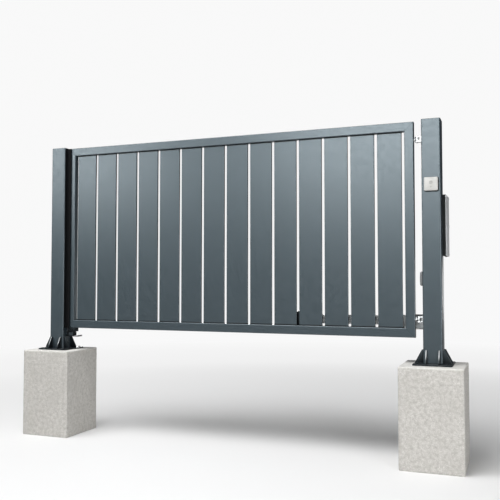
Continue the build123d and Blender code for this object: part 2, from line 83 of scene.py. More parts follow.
# %% Helpers for materials
class Finish:
    """A material with one Principled shader and the textures that feed it."""

    def __init__(self, name, **constants):
        self.material = bpy.data.materials.new(name)
        self.material.use_nodes = True
        self.nodes = self.material.node_tree.nodes
        self.links = self.material.node_tree.links
        self.shader = self.nodes["Principled BSDF"]
        coordinates = self.nodes.new("ShaderNodeTexCoord").outputs
        self.place, self.outward = coordinates["Object"], coordinates["Normal"]
        for socket, value in constants.items():
            self.shader.inputs[socket.replace("_", " ")].default_value = value

    def parts(self, vector):
        """The X, Y and Z shares of a place or a direction."""
        node = self.nodes.new("ShaderNodeSeparateXYZ")
        self.links.new(vector, node.inputs["Vector"])
        return node.outputs

    def calculate(self, operation, first, second):
        """A Math node for two values, each a socket or a number."""
        node = self.nodes.new("ShaderNodeMath")
        node.operation = operation
        for socket, value in zip(node.inputs, (first, second)):
            if isinstance(value, bpy.types.NodeSocket):
                self.links.new(value, socket)
            else:
                socket.default_value = value
        return node.outputs["Value"]

    def noise(self, scale, detail=3.0, roughness=0.5):
        """Soft cloudy noise, with so many waves in a metre."""
        texture = self.nodes.new("ShaderNodeTexNoise")
        texture.inputs["Scale"].default_value = scale
        texture.inputs["Detail"].default_value = detail
        texture.inputs["Roughness"].default_value = roughness
        self.links.new(self.place, texture.inputs["Vector"])
        return texture.outputs["Fac"]

    def cells(self, scale):
        """Distance to the nearest of scattered points, for pores and grains."""
        texture = self.nodes.new("ShaderNodeTexVoronoi")
        texture.inputs["Scale"].default_value = scale
        self.links.new(self.place, texture.inputs["Vector"])
        return texture.outputs["Distance"]

    def spread(self, value, low, high, to_low=0.0, to_high=1.0):
        """Stretch a value from one range to another, and hold it at the ends."""
        node = self.nodes.new("ShaderNodeMapRange")
        ends = {"From Min": low, "From Max": high, "To Min": to_low, "To Max": to_high}
        for socket, number in ends.items():
            node.inputs[socket].default_value = number
        self.links.new(value, node.inputs["Value"])
        return node.outputs["Result"]

    def blend(self, share, first, second):
        """Mix two colours, or a colour and what an earlier blend gave, by a share from 0 to 1."""
        node = self.nodes.new("ShaderNodeMix")
        node.data_type = "RGBA"
        self.links.new(share, node.inputs["Factor"])
        for socket, colour in (("A", first), ("B", second)):
            target = next(s for s in node.inputs if s.name == socket and s.type == "RGBA")
            if isinstance(colour, bpy.types.NodeSocket):
                self.links.new(colour, target)
            else:
                target.default_value = (*colour, 1)
        return next(s for s in node.outputs if s.type == "RGBA")

    def bump(self, height, depth, under=None):
        """Raise the surface by a height from 0 to 1 times a depth in metres."""
        node = self.nodes.new("ShaderNodeBump")
        node.inputs["Distance"].default_value = depth
        self.links.new(height, node.inputs["Height"])
        if under is not None:
            self.links.new(under, node.inputs["Normal"])
        return node.outputs["Normal"]

    def wear(self, **sockets):
        """Lead textures into the shader's sockets."""
        for socket, value in sockets.items():
            self.links.new(value, self.shader.inputs[socket.replace("_", " ")])
        return self.material


# %% [markdown]
# ## Powder coat
# The posts and the leaf wear a baked anthracite powder coat: a satin blue-grey with a fine
# grain that can only be seen close up. A plain colour would look like plastic, so the colour
# drifts by a few percent over a hand's width, the gloss drifts with it, and a fine bump gives
# the grain. At the feet of the posts the slanted front edges are painted pale, a painted
# highlight, and the narrow sides of the slats are painted almost black, a painted shade.
# A shader can tell such faces by the direction that they face in the piece's own space.


# %% Powder coat for the posts, the leaf and the brackets
SLANTED_UP = (0.30, 0.40)
SLANTED_FORWARD = (-0.70, -0.80)
SIDEWAYS = (0.75, 0.92)


def powder_coat(name, light, dark, gloss, mirror=0.9, edge_highlight=None, sides=None):
    """Baked paint; the slanted front edges can get a painted highlight, the narrow sides painted shade."""
    finish = Finish(name, Specular_IOR_Level=mirror, Specular_Tint=(0.84, 0.95, 1.0, 1))
    drift = finish.noise(7, 4)
    grain = finish.noise(1400, 2)
    colour = finish.blend(finish.spread(drift, 0.3, 0.7), light, dark)
    # Painted highlight: the slanted front edges are made pale.
    if edge_highlight:
        outward = finish.parts(finish.outward)
        upward = finish.spread(outward["Z"], *SLANTED_UP)
        forward = finish.spread(outward["Y"], *SLANTED_FORWARD)
        colour = finish.blend(finish.calculate("MULTIPLY", upward, forward), colour, edge_highlight)
    # Painted shade: the narrow sides are made almost black.
    if sides:
        sideways = finish.calculate("ABSOLUTE", finish.parts(finish.outward)["X"], 0)
        colour = finish.blend(finish.spread(sideways, *SIDEWAYS), colour, sides)
    roughness = finish.spread(finish.noise(45, 5), 0.3, 0.7, *gloss)
    peel = finish.bump(finish.noise(260, 2), 0.00010)
    return finish.wear(Base_Color=colour, Roughness=roughness, Normal=finish.bump(grain, 0.00005, peel))


BLUE_GREY = ((0.016, 0.024, 0.030), (0.014, 0.021, 0.026))
BLACK = ((0.006, 0.007, 0.008), (0.004, 0.005, 0.006))
PRIMER = ((0.15, 0.145, 0.15), (0.12, 0.117, 0.12))
# Colour of the painted highlight on the slanted front edges.
PAINTED_EDGE_HIGHLIGHT = (0.36, 0.37, 0.375)
# Colour of the painted shade on the slats' narrow sides.
PAINTED_SIDE_SHADE = (0.003, 0.004, 0.005)

post_coat = powder_coat("post_powder_coat", *BLUE_GREY, (0.33, 0.40))
leaf_coat = powder_coat("leaf_powder_coat", *BLUE_GREY, (0.32, 0.39))
# The slats' coat paints shade on their narrow sides.
slat_coat = powder_coat("slat_powder_coat", *BLUE_GREY, (0.32, 0.39), sides=PAINTED_SIDE_SHADE)
bracket_coat = powder_coat("bracket_black_coat", *BLACK, (0.42, 0.55), mirror=0.2)
# A near-black coat for the post feet, darker than the posts: painted shade at the foot.
shaded_foot_coat = powder_coat("black_foot_shade_coat", *BLACK, (0.34, 0.42), mirror=0.35, edge_highlight=PAINTED_EDGE_HIGHLIGHT)
grey_primer = powder_coat("grey_primer", *PRIMER, (0.42, 0.55), mirror=0.4)
print("coats:", post_coat.name, leaf_coat.name, slat_coat.name, bracket_coat.name, shaded_foot_coat.name)

# %% [markdown]
# ## Cast concrete
# The blocks are cast in a smooth form: warm light grey, cloudy from uneven drying, speckled by
# sand, and pitted with small air holes. Four sizes of texture make that up, from clouds as wide
# as a hand to grains of a millimetre, and the pits go into the bump as well as the colour. The
# top is painted paler than the sides: painted light from the lamp above.


# %% Concrete
PAINTED_TOP_LIGHT = (0.622, 0.633)


def cast_concrete():
    """Pale concrete with clouds, stains, sand and pits, and painted light on the top."""
    finish = Finish("cast_concrete", Specular_IOR_Level=0.25)
    clouds = finish.spread(finish.noise(7, 6, 0.62), 0.32, 0.68)
    stains = finish.spread(finish.noise(46, 5, 0.65), 0.44, 0.64)
    sand = finish.spread(finish.noise(260, 3, 0.7), 0.35, 0.7)
    pits = finish.spread(finish.cells(70), 0.05, 0.17)
    colour = finish.blend(clouds, (0.60, 0.585, 0.555), (0.75, 0.735, 0.705))
    colour = finish.blend(stains, colour, (0.43, 0.415, 0.385))
    speckled = finish.blend(sand, (0.40, 0.385, 0.36), colour)
    colour = finish.blend(pits, (0.30, 0.29, 0.27), speckled)
    # Painted light: the top face is made paler than the sides.
    top = finish.spread(finish.parts(finish.place)["Z"], *PAINTED_TOP_LIGHT, 0, 0.6)
    colour = finish.blend(top, colour, (0.74, 0.73, 0.70))
    surface = finish.bump(finish.noise(60, 6, 0.6), 0.0006)
    surface = finish.bump(sand, 0.0002, surface)
    surface = finish.bump(pits, 0.0007, surface)
    roughness = finish.spread(clouds, 0, 1, 0.78, 0.92)
    return finish.wear(Base_Color=colour, Roughness=roughness, Normal=surface)


concrete = cast_concrete()
print("concrete:", len(concrete.node_tree.nodes), "nodes")

# %% [markdown]
# ## Metal and plastics
# Hinges, pins and bolts are zinc plated, so they are bright and slightly cloudy. The reader, the
# control box and the photocell are moulded plastics with a fine spark grain. The drive's
# housing and profile are light grey enamel on aluminium.


# %% Zinc, enamel and plastics
def zinc_plate():
    finish = Finish("zinc_plate", Metallic=1.0)
    clouds = finish.noise(160, 5, 0.6)
    colour = finish.blend(finish.spread(clouds, 0.3, 0.7), (0.50, 0.505, 0.51), (0.68, 0.68, 0.67))
    roughness = finish.spread(finish.noise(420, 4), 0.3, 0.7, 0.30, 0.46)
    return finish.wear(Base_Color=colour, Roughness=roughness, Normal=finish.bump(clouds, 0.00012))


def moulded_plastic(name, colour, shade, gloss, grain=900, depth=0.00008, mirror=0.5, metal=0.0):
    """Plastic with the spark grain of its mould, or enamel with some metal in it."""
    finish = Finish(name, Specular_IOR_Level=mirror, Metallic=metal)
    mixed = finish.blend(finish.spread(finish.noise(28, 4), 0.3, 0.7), colour, shade)
    roughness = finish.spread(finish.noise(75, 3), 0.3, 0.7, *gloss)
    sparks = finish.bump(finish.noise(grain, 3), depth)
    return finish.wear(Base_Color=mixed, Roughness=roughness, Normal=sparks)


zinc = zinc_plate()
white_plastic = moulded_plastic("white_plastic", (0.50, 0.495, 0.475), (0.46, 0.455, 0.435), (0.40, 0.50))
grey_plastic = moulded_plastic("grey_plastic", (0.50, 0.51, 0.52), (0.45, 0.46, 0.47), (0.45, 0.55))
hood_plastic = moulded_plastic("hood_plastic", (0.20, 0.205, 0.21), (0.17, 0.175, 0.18), (0.45, 0.55))
black_plastic = moulded_plastic(
    "black_plastic", (0.008, 0.009, 0.010), (0.005, 0.006, 0.007), (0.62, 0.78), mirror=0.2
)
drive_enamel = moulded_plastic(
    "drive_enamel", (0.94, 0.945, 0.94), (0.86, 0.865, 0.86), (0.32, 0.42), 700, 0.00005, metal=0.3
)
print("metal and plastics:", zinc.name, white_plastic.name, hood_plastic.name, drive_enamel.name)

# %% [markdown]
# ## Dressing the frame
# Each node of the frame already carries one material that is named for its slot. The finish for
# that slot takes its place, so no node is left with the plain colour it came with. The slats
# share a slot with their frame, but get the coat with painted shade on their narrow sides.

# %% Finishes by slot
FINISHES = {
    "concrete": concrete,
    "post_paint": post_coat,
    "leaf_paint": leaf_coat,
    "bracket_paint": bracket_coat,
    "zinc_steel": zinc,
    "white_plastic": white_plastic,
    "grey_plastic": grey_plastic,
    "black_plastic": black_plastic,
    "actuator_paint": drive_enamel,
}

for name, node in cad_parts.items():
    slot = node.material_slots[0]
    slot.material = slat_coat if name.startswith("slat_") else FINISHES[slot.material.name]
print("dressed", len(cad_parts), "nodes in", len(FINISHES), "finishes")

# %% [markdown]
# ## Tools for modelling
# New pieces start from a primitive at its size and place and are shaped in edit mode. Operators
# act on whatever is selected, so each helper clears the selection first and then picks faces
# or edges by where they lie. A lathe helper extrudes a disc ring by ring, which gives nuts,
# bolts, washers and plugs. Every piece ends at the origin with its place in its mesh.


# %% Helpers for modelling
def start_clean():
    """Object mode, with nothing selected."""
    if bpy.context.mode != "OBJECT":
        bpy.ops.object.mode_set(mode="OBJECT")
    bpy.ops.object.select_all(action="DESELECT")


def take(*pieces):
    """Select these pieces alone; the first is the active one."""
    start_clean()
    for piece in pieces:
        piece.select_set(True)
    bpy.context.view_layer.objects.active = pieces[0]
    return pieces[0]


def settle():
    """Keep the active piece's place, turn and size in its mesh."""
    bpy.ops.object.transform_apply(location=True, rotation=True, scale=True)
    return bpy.context.object


def put(piece, place):
    """Move and turn a piece by a matrix, and keep the result in its mesh."""
    take(piece).matrix_world = place
    return settle()


def facing(place, direction=(0, 0, 1)):
    """The matrix that brings a piece drawn upwards from the origin to a place and a direction."""
    turn = Vector((0, 0, 1)).rotation_difference(Vector(direction))
    return Matrix.Translation(place) @ turn.to_matrix().to_4x4()


def block(low, high):
    """A cube primitive stretched between two corners."""
    start_clean()
    low, high = Vector(low), Vector(high)
    bpy.ops.mesh.primitive_cube_add(size=1, location=(low + high) / 2)
    bpy.context.object.scale = high - low
    return settle()


def choose(piece, kind, test):
    """Enter edit mode with only those faces, edges or points selected that pass the test."""
    take(piece)
    bpy.ops.object.mode_set(mode="EDIT")
    bpy.ops.mesh.select_mode(type=kind)
    bpy.ops.mesh.select_all(action="DESELECT")
    bpy.ops.object.mode_set(mode="OBJECT")
    mesh = piece.data
    if kind == "FACE":
        for face in mesh.polygons:
            face.select = test(face.center, face.normal)
    elif kind == "EDGE":
        for edge in mesh.edges:
            first, second = (mesh.vertices[i].co for i in edge.vertices)
            edge.select = test((first + second) / 2, (second - first).normalized())
    else:
        for point in mesh.vertices:
            point.select = test(point.co)
    bpy.ops.object.mode_set(mode="EDIT")


def extrude(*move):
    """Extrude the selected faces by a move in X, Y and Z."""
    bpy.ops.mesh.extrude_region_move(TRANSFORM_OT_translate={"value": move})


def apply_modifier(piece, kind, **settings):
    """Add a modifier, set it up and apply it."""
    take(piece)
    modifier = piece.modifiers.new(kind.lower(), kind)
    for setting, value in settings.items():
        setattr(modifier, setting, value)
    bpy.ops.object.modifier_apply(modifier=modifier.name)
    return piece


def soften(piece, width, segments=2):
    """Round off every sharp edge of a piece."""
    return apply_modifier(
        piece, "BEVEL", width=width, segments=segments, limit_method="ANGLE", angle_limit=math.radians(30)
    )


def turned(rings, sides=24):
    """A turned piece, drawn upwards: a disc extruded and resized through (radius, height) rings."""
    start_clean()
    radius, height = rings[0]
    foot = (0, 0, height)
    bpy.ops.mesh.primitive_circle_add(vertices=sides, radius=radius, fill_type="NGON", location=foot)
    piece = settle()
    bpy.ops.object.mode_set(mode="EDIT")
    bpy.ops.mesh.select_all(action="SELECT")
    for next_radius, next_height in rings[1:]:
        extrude(0, 0, next_height - height)
        change = next_radius / radius
        bpy.ops.transform.resize(value=(change, change, 1), center_override=(0, 0, next_height))
        radius, height = next_radius, next_height
    bpy.ops.mesh.select_all(action="SELECT")
    bpy.ops.mesh.normals_make_consistent(inside=False)
    bpy.ops.object.mode_set(mode="OBJECT")
    return piece


def joined(*pieces):
    """Several meshes made into one piece."""
    take(*pieces)
    bpy.ops.object.join()
    return pieces[0]


def copies(pattern, places):
    """Copies of a pattern, each with its own mesh, put in their places and joined; the pattern goes."""
    made = []
    for place in places:
        take(pattern)
        bpy.ops.object.duplicate()
        made.append(put(bpy.context.object, place))
    bpy.data.objects.remove(pattern)
    return joined(*made)


def softened_copy(node, width, segments=2):
    """A copy of a frame node: loose triangles merged, flat faces made whole, sharp edges rounded."""
    piece = bpy.data.objects.new(node + "_copy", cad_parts[node].data.copy())
    bpy.context.scene.collection.objects.link(piece)
    take(piece)
    bpy.ops.mesh.customdata_custom_splitnormals_clear()
    bpy.ops.object.mode_set(mode="EDIT")
    bpy.ops.mesh.select_all(action="SELECT")
    bpy.ops.mesh.remove_doubles(threshold=0.00001)
    bpy.ops.mesh.dissolve_limited(angle_limit=math.radians(0.5))
    bpy.ops.object.mode_set(mode="OBJECT")
    return soften(piece, width, segments)


def dress(piece, name, body, slot_name, finish=None, replaced=()):
    """Name a piece, give it its finish and shading, and let it ride on its body."""
    take(piece)
    bpy.ops.object.shade_smooth_by_angle(angle=math.radians(35))
    piece.name = piece.data.name = name
    piece.data.materials.clear()
    piece.data.materials.append(finish or FINISHES[slot_name])
    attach(piece, body)
    if replaced:
        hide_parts(*replaced)
    print(f"{name}: {len(piece.data.polygons)} faces on {body}")
    return piece


def eased(node, width, name, body, slot_name, finish=None):
    """Let a copy of a frame node, with its edges rounded, stand for the node."""
    return dress(softened_copy(node, width), name, body, slot_name, finish, replaced=[node])


# %% [markdown]
# ## Footings
# Each block is cast in a form, so its faces are nearly flat, its arrises are rounded and worn,
# and the skin is uneven by about a millimetre. A clean cube would look like plaster, and bump
# alone would leave its outline ruled. So the block is bevelled, remeshed to an even grid
# and pushed about by two cloud textures, and then cut level where it stands on the floor. Its
# lower arris is rounder than the others, which leaves a thin shadow round the foot.

# %% Cast concrete blocks
ARRIS = 0.005
GRID = 0.0055
LOWER_ARRIS = 0.012
BELOW_FLOOR = 0.004
SKIN = ((0.055, 0.0016), (0.014, 0.0009))
SKIN_LEVEL = 0.62


def cast_block(side):
    """One footing, with rounded arrises and an uneven skin."""
    low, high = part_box(f"{side}_footing")
    piece = block((low.x, low.y, low.z - BELOW_FLOOR), high)
    choose(piece, "EDGE", lambda middle, along: middle.z > low.z)
    bpy.ops.mesh.bevel(offset=ARRIS, segments=3, affect="EDGES")
    choose(piece, "EDGE", lambda middle, along: middle.z < low.z - BELOW_FLOOR / 2)
    bpy.ops.mesh.bevel(offset=LOWER_ARRIS, segments=3, affect="EDGES")
    apply_modifier(piece, "REMESH", mode="VOXEL", voxel_size=GRID)
    for size, depth in SKIN:
        clouds = bpy.data.textures.new(f"{side}_skin", "CLOUDS")
        clouds.noise_scale = size
        uneven = {"texture": clouds, "strength": depth, "mid_level": SKIN_LEVEL}
        apply_modifier(piece, "DISPLACE", texture_coords="LOCAL", **uneven)
    choose(piece, "FACE", lambda middle, normal: True)
    bpy.ops.mesh.bisect(plane_co=(0, 0, low.z), plane_no=(0, 0, 1), clear_inner=True, use_fill=True)
    return dress(piece, f"{side}_cast_block", "root", "concrete", replaced=[f"{side}_footing"])


for side in ("latch", "hinge"):
    cast_block(side)

# %% [markdown]
# ## Post feet
# A square plate under each post takes four anchors, and eight ribs brace the post on it. Sheet
# edges are never razor sharp. The thin pale line along each rib in front is a painted highlight
# on its slanted edge. The plates and ribs wear a near-black coat, darker than the posts: painted
# shade at the foot. The frame's own meshes are copied, merged and bevelled, so the sizes stay right.

# %% Base plates and ribs
PLATE_EDGE = 0.0012

# The plates and ribs wear the near-black coat: painted shade at the foot.
for side in ("latch", "hinge"):
    eased(f"{side}_base_plate", PLATE_EDGE, f"{side}_foot_plate", "root", "post_paint", shaded_foot_coat)
    eased(f"{side}_post_gussets", PLATE_EDGE, f"{side}_foot_ribs", "root", "post_paint", shaded_foot_coat)

# %% [markdown]
# ## Welds
# The ribs are welded to the post and to the plate, and the post to the plate. A weld is a row of
# small overlapping ripples. Here it is a thin rod, cut into rings by subdividing, with every
# second ring drawn in, and half sunk into the corner that it fills. One rib's four
# welds are modelled once and copied round the post.

# %% Weld beads at the post feet
BEAD = 0.0030
RIPPLE = 0.0035
DRAWN_IN = 0.22
WELD_END = 0.002
POST_CORNER = 0.008
RIB_SPACING = 0.080
RIB_THICKNESS = 0.008


def weld(start, end, radius=BEAD):
    """A bead of weld from one point to another."""
    start, end = Vector(start), Vector(end)
    length = (end - start).length
    start_clean()
    middle = (0, 0, length / 2)
    bpy.ops.mesh.primitive_cylinder_add(vertices=8, radius=radius, depth=length, location=middle)
    piece = settle()
    choose(piece, "EDGE", lambda middle, along: abs(along.z) > 0.9)
    cuts = int(length / RIPPLE)
    bpy.ops.mesh.subdivide(number_cuts=cuts)
    step = length / (cuts + 1)
    choose(piece, "VERT", lambda place: round(place.z / step) % 2 == 0)
    bpy.ops.transform.shrink_fatten(value=-DRAWN_IN * radius)
    bpy.ops.object.mode_set(mode="OBJECT")
    return put(piece, facing(start, end - start))


def foot_welds(side):
    """All welds at one post's foot."""
    low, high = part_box(f"{side}_post")
    half = (high.x - low.x) / 2
    ribs_low, ribs_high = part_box(f"{side}_post_gussets")
    reach = (ribs_high.x - ribs_low.x) / 2 - half
    height = ribs_high.z - ribs_low.z
    foot = Vector(((low.x + high.x) / 2, (low.y + high.y) / 2, low.z))
    runs = []
    for flank in (-RIB_THICKNESS / 2, RIB_THICKNESS / 2):
        runs.append(weld((0, flank, WELD_END), (0, flank, height - 2 * WELD_END)))
        runs.append(weld((WELD_END, flank, 0), (reach - WELD_END, flank, 0)))
    quarter = [Matrix.Translation(foot) @ Matrix.Rotation(math.radians(90 * k), 4, "Z") for k in range(4)]
    shifts = (-RIB_SPACING / 2, RIB_SPACING / 2)
    rib_places = [turn @ Matrix.Translation((half, shift, 0)) for turn in quarter for shift in shifts]
    rib_welds = copies(joined(*runs), rib_places)
    run = weld((half, POST_CORNER - half, 0), (half, half - POST_CORNER, 0))
    return joined(rib_welds, copies(run, quarter))


for side in ("latch", "hinge"):
    dress(foot_welds(side), f"{side}_foot_welds", "root", "post_paint", bracket_coat)

# %% [markdown]
# ## Bolts
# Bolts, nuts and screws are turned pieces. A hexagon head is a six-sided disc raised through four
# rings, so that its corners are chamfered above and below, and it sits on a round washer. A
# button head has a round recess for the key, made by insetting its top face and pushing it in.


# %% Hexagon bolts and button screws
def hexagon(across_flats, height):
    """A nut or a bolt head, chamfered at its corners."""
    corner = across_flats / 2 / math.cos(math.radians(30))
    chamfer = 0.12 * height
    rings = [(0.93 * corner, 0), (corner, chamfer), (corner, height - chamfer), (0.90 * corner, height)]
    return turned(rings, sides=6)


def washer(edge, radius, thickness):
    """A round washer whose two edges are eased."""
    return turned([(edge, 0), (radius, 0.3 * thickness), (radius, 0.7 * thickness), (edge, thickness)])


def sink(piece, height, wall, depth):
    """Inset the flat top of a turned piece and push it in."""
    choose(piece, "FACE", lambda middle, normal: normal.z > 0.99 and middle.z > 0.9 * height)
    bpy.ops.mesh.inset(thickness=wall)
    extrude(0, 0, -depth)
    bpy.ops.object.mode_set(mode="OBJECT")
    return piece


def bolt_head(across_flats):
    """A hexagon bolt head on its washer, with the head's flat top dished a little."""
    radius = 0.62 * across_flats * 2 / 1.15
    thickness = 0.13 * across_flats
    disc = washer(0.96 * radius, radius, thickness)
    head = hexagon(across_flats, 0.62 * across_flats)
    choose(head, "FACE", lambda middle, normal: normal.z > 0.99)
    bpy.ops.mesh.inset(thickness=0.12 * across_flats)
    bpy.ops.transform.translate(value=(0, 0, -0.04 * across_flats))
    return joined(put(head, facing((0, 0, thickness))), disc)


def screw_head(radius, height):
    """A round screw head with a recess for the key."""
    shares = [(1, 0), (1, 0.35), (0.86, 0.8), (0.62, 1)]
    head = turned([(across * radius, up * height) for across, up in shares])
    return sink(head, height, 0.22 * radius, 0.6 * height)


ANCHOR_RADIUS = 0.011
ANCHOR_HEIGHT = 0.004
ANCHOR_FROM_EDGE = 0.022

for side in ("latch", "hinge"):
    low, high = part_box(f"{side}_base_plate")
    middle = (low + high) / 2
    inset = (high.x - low.x) / 2 - ANCHOR_FROM_EDGE
    corners = [(middle.x + inset * x, middle.y + inset * y, high.z) for x in (-1, 1) for y in (-1, 1)]
    anchors = copies(screw_head(ANCHOR_RADIUS, ANCHOR_HEIGHT), [facing(corner) for corner in corners])
    dress(anchors, f"{side}_anchor_heads", "root", "bracket_paint")

# %% [markdown]
# ## Rims and rounded panels
# Seals, collars and gaskets are all frames with an opening. One helper makes them: a block, its
# corner edges bevelled round, its two end faces inset, and the two inner faces bridged, which
# opens the hole. A second helper makes the small panels and lenses that sit on a housing.


# %% Helpers for rims and panels
def rounded_block(low, high, axis, corner):
    """A block whose four edges along one axis are rounded."""
    piece = block(low, high)
    choose(piece, "EDGE", lambda middle, along: abs(along[axis]) > 0.9)
    bpy.ops.mesh.bevel(offset=corner, segments=6, affect="EDGES")
    bpy.ops.object.mode_set(mode="OBJECT")
    return piece


def rim(low, high, axis, corner, wall, edge=0.0003):
    """A rounded frame with an opening along one axis."""
    piece = rounded_block(low, high, axis, corner)
    choose(piece, "FACE", lambda middle, normal: abs(normal[axis]) > 0.9)
    bpy.ops.mesh.inset(thickness=wall)
    bpy.ops.mesh.bridge_edge_loops()
    bpy.ops.mesh.select_all(action="SELECT")
    bpy.ops.mesh.normals_make_consistent(inside=False)
    bpy.ops.object.mode_set(mode="OBJECT")
    return soften(piece, edge, 1)


def panel(low, high, axis, corner, edge):
    """A rounded panel with softened edges."""
    return soften(rounded_block(low, high, axis, corner), edge, 3)


def key_disc(radius, height):
    """A lock cylinder: a stepped disc with a sunk face."""
    disc = turned([(radius, 0), (radius, 0.6 * height), (0.92 * radius, height)])
    return sink(disc, height, 0.25 * radius, 0.5 * height)


# %% [markdown]
# ## The leaf
# Each slat ends in a thin black seat that keeps it from rattling in the rail. The seats are tall and
# black, which paints shade into the dark line under the top rail. The frame is mitred at its corners
# and the joints are filled, which leaves a hairline from corner to corner. Both are modelled once and
# copied.

# %% Slat seats and mitre joints
# Tall black seats: painted shade under the top rail.
SEAT_HEIGHT = 0.0060
SEAT_PROUD = 0.0012
SEAT_WALL = 0.0022

slats = [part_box(name) for name in sorted(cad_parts) if name.startswith("slat_")]
low, high = slats[0]
half_width, half_depth = (high.x - low.x) / 2 + SEAT_PROUD, (high.y - low.y) / 2 + SEAT_PROUD
seat = rim((-half_width, -half_depth, 0), (half_width, half_depth, SEAT_HEIGHT), 2, 0.004, SEAT_WALL)
ends = [((low.x + high.x) / 2, z) for low, high in slats for z in (low.z, high.z - SEAT_HEIGHT)]
dress(copies(seat, [Matrix.Translation((x, 0, z)) for x, z in ends]), "slat_seats_and_shade", "leaf", "black_plastic")

MITRE_WIDTH = 0.0009
MITRE_PROUD = 0.00015

low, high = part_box("bottom_rail")
leaf_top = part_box("top_rail")[1].z
face = high.z - low.z
reach = face / math.sqrt(2) - 0.003
seam = block((-reach, -MITRE_WIDTH / 2, -0.001), (reach, MITRE_WIDTH / 2, MITRE_PROUD))
soften(seam, 0.0001, 1)
places = []
for x, lean_x in ((low.x + face / 2, 1), (high.x - face / 2, -1)):
    for z, lean_z in ((low.z + face / 2, 1), (leaf_top - face / 2, -1)):
        lean = Matrix.Rotation(math.radians(-45 * lean_x * lean_z), 4, "Y")
        for y, turn in ((low.y, 90), (high.y, -90)):
            upright = Matrix.Rotation(math.radians(turn), 4, "X")
            places.append(Matrix.Translation((x, y, z)) @ lean @ upright)
dress(copies(seam, places), "mitre_seams", "leaf", "leaf_paint", bracket_coat)

# %% [markdown]
# ## The stop strip and its painted shade
# The leaf opens to the back, so a black rubber strip in front of its edge stops it when it shuts.
# Its rubber is nearly black, and it fills the corner beside the latch post with painted shade: the
# black band there. It is a long block on the post's inner side, cut into even bands: every second
# band is extruded into a rib, and the last one into a lip.

# %% Stop strip on the latch post, with painted shade
STRIP_DEPTH = (0.006, 0.0315)
STRIP_THICKNESS = 0.0020
STRIP_RIB = 0.0010
STRIP_BANDS = 9
STRIP_LIP = 0.0335
STRIP_BELOW_TOP = 0.002

low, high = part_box("latch_post")
leaf_low, leaf_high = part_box("latch_stile")
strip_low = Vector((high.x, low.y + STRIP_DEPTH[0], leaf_low.z))
strip_high = Vector((high.x + STRIP_THICKNESS, low.y + STRIP_DEPTH[1], leaf_high.z - STRIP_BELOW_TOP))
strip = block(strip_low, strip_high)
choose(strip, "EDGE", lambda middle, along: abs(along.y) > 0.9)
bpy.ops.mesh.subdivide(number_cuts=STRIP_BANDS - 1)
band = (strip_high.y - strip_low.y) / STRIP_BANDS


def on_rib(middle, normal):
    """True for the inner face of every second band."""
    return normal.x > 0.9 and int((middle.y - strip_low.y) / band) % 2 == 0


choose(strip, "FACE", on_rib)
extrude(STRIP_RIB, 0, 0)
choose(strip, "FACE", lambda middle, normal: normal.x > 0.9 and middle.y > strip_high.y - band)
extrude(STRIP_LIP, 0, 0)
bpy.ops.object.mode_set(mode="OBJECT")
# Nearly black rubber: painted shade in the corner beside the latch post.
painted_shade_rubber = moulded_plastic(
    "painted_shade_rubber", (0.003, 0.003, 0.0035), (0.002, 0.002, 0.0025), (0.7, 0.85), mirror=0.1
)
dress(soften(strip, 0.0003, 1), "latch_stop_and_shade_strip", "root", "black_plastic", painted_shade_rubber)

# %% [markdown]
# ## Hinges
# An eye bolt screws into the leaf and is locked by a nut, and a pin holds its eye between the two
# ears of a bracket on the post. The bracket and the eye come from the frame with their edges
# eased. The pin and the nut are turned afresh, because their chamfers and washers catch the light.
# A black plug in the eye closes its grease hole, and dark welds hold the bracket.

# %% Hinge brackets, pins, eyes and nuts
PIN_SHAFT = 0.006
PIN_HEAD = 0.004
PIN_TAIL = 0.005
NUT_FLATS = 0.022
WASHER = 0.0016
WASHER_RADII = (0.0132, 0.0136)


def hinge_pin(node):
    """A headed pin with a chamfered tail and a retaining ring."""
    low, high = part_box(node)
    head, shaft, length = (high.x - low.x) / 2, PIN_SHAFT, high.z - low.z
    step = length - PIN_HEAD
    rings = [(0.75 * shaft, -PIN_TAIL), (shaft, -PIN_TAIL + 0.0015), (shaft, step), (0.94 * head, step)]
    rings += [(head, step + 0.0006), (head, length - 0.0012), (0.84 * head, length)]
    ring = turned([(0.0086, -0.0026), (0.0092, -0.0022), (0.0092, -0.0014), (0.0086, -0.0010)])
    pin = joined(turned(rings), ring)
    return put(pin, Matrix.Translation(((low.x + high.x) / 2, (low.y + high.y) / 2, low.z)))


def hinge_nut(node):
    """A chamfered nut with a washer against the stile."""
    low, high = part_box(node)
    thickness = high.x - low.x
    middle = (low + high) / 2
    disc = washer(*WASHER_RADII, WASHER)
    nut = put(hexagon(NUT_FLATS, thickness - WASHER), Matrix.Translation((0, 0, WASHER)))
    return put(joined(nut, disc), facing((low.x, middle.y, middle.z), (1, 0, 0)))


for level in ("upper", "lower"):
    eased(f"{level}_hinge_bracket", 0.0015, f"{level}_hinge_yoke", "root", "zinc_steel")
    pin = hinge_pin(f"{level}_hinge_pin")
    dress(pin, f"{level}_pin_turned", "root", "zinc_steel", replaced=[f"{level}_hinge_pin"])
    eased(f"{level}_hinge_eye_bolt", 0.0010, f"{level}_eye_turned", "leaf", "zinc_steel")
    nut = hinge_nut(f"{level}_hinge_nut")
    dress(nut, f"{level}_nut_turned", "leaf", "zinc_steel", replaced=[f"{level}_hinge_nut"])

# %% Grease plugs and welds of the hinges
EYE_RADIUS = 0.012
PLUG_TURN = Vector((-0.6, -0.8, 0))

